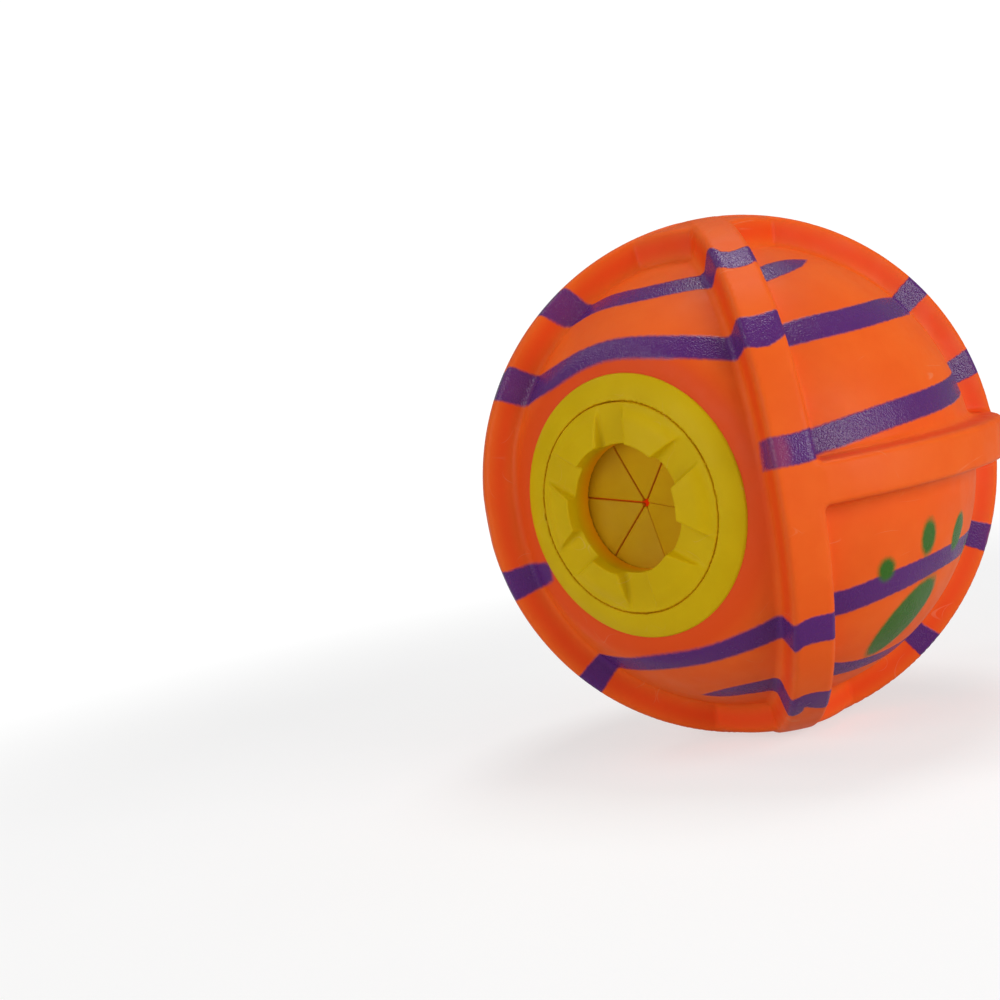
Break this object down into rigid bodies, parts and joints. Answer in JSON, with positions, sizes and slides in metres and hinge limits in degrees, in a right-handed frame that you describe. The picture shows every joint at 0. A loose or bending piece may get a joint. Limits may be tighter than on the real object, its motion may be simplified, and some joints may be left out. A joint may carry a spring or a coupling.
{
  "type": "treat ball",
  "caption": "Ribbed soft ball for pets with a twist-out round mouth, finger lobes and a slit iris that lets treats drop out as it rolls.",
  "frame": {"origin": "centre of the ball", "axes": "+Z through the poles, where two ribs cross; the mouth faces -Y; +X to the right seen from the front"},
  "size_m": [0.12, 0.1068, 0.1194],
  "materials": {
    "orange_vinyl": "soft semi-matte vinyl with painted stripes",
    "yellow_plastic": "semi-matte moulded plastic",
    "amber_iris": "soft matte elastomer"
  },
  "bodies": {
    "ball": {"ball_shell": "orange_vinyl", "bezel_ring": "yellow_plastic"},
    "dial": {"dial": "yellow_plastic", "iris_ring": "amber_iris", "iris_retainer": "yellow_plastic"},
    "petal_1": {"iris_petal_1": "amber_iris"},
    "petal_2": {"iris_petal_2": "amber_iris"},
    "petal_3": {"iris_petal_3": "amber_iris"},
    "petal_4": {"iris_petal_4": "amber_iris"},
    "petal_5": {"iris_petal_5": "amber_iris"},
    "petal_6": {"iris_petal_6": "amber_iris"}
  },
  "joints": [
    {"name": "dial_twist", "type": "hinge", "parent": "ball", "child": "dial", "pos_m": [0, -0.0431, 0], "axis": [0, -1, 0], "range_deg": [0, 45]},
    {"name": "petal_1_bend", "type": "hinge", "parent": "dial", "child": "petal_1", "pos_m": [0.01076, -0.0387, 0.0037], "axis": [-0.3256, 0, 0.9455], "range_deg": [-75, 75], "stiffness_Nm_per_rad": 0.003},
    {"name": "petal_2_bend", "type": "hinge", "parent": "dial", "child": "petal_2", "pos_m": [0.00217, -0.0387, 0.01117], "axis": [-0.9816, 0, 0.1908], "range_deg": [-75, 75], "stiffness_Nm_per_rad": 0.003},
    {"name": "petal_3_bend", "type": "hinge", "parent": "dial", "child": "petal_3", "pos_m": [-0.00859, -0.0387, 0.00747], "axis": [-0.6561, 0, -0.7547], "range_deg": [-75, 75], "stiffness_Nm_per_rad": 0.003},
    {"name": "petal_4_bend", "type": "hinge", "parent": "dial", "child": "petal_4", "pos_m": [-0.01076, -0.0387, -0.0037], "axis": [0.3256, 0, -0.9455], "range_deg": [-75, 75], "stiffness_Nm_per_rad": 0.003},
    {"name": "petal_5_bend", "type": "hinge", "parent": "dial", "child": "petal_5", "pos_m": [-0.00217, -0.0387, -0.01117], "axis": [0.9816, 0, -0.1908], "range_deg": [-75, 75], "stiffness_Nm_per_rad": 0.003},
    {"name": "petal_6_bend", "type": "hinge", "parent": "dial", "child": "petal_6", "pos_m": [0.00859, -0.0387, -0.00747], "axis": [0.6561, 0, 0.7547], "range_deg": [-75, 75], "stiffness_Nm_per_rad": 0.003}
  ]
}
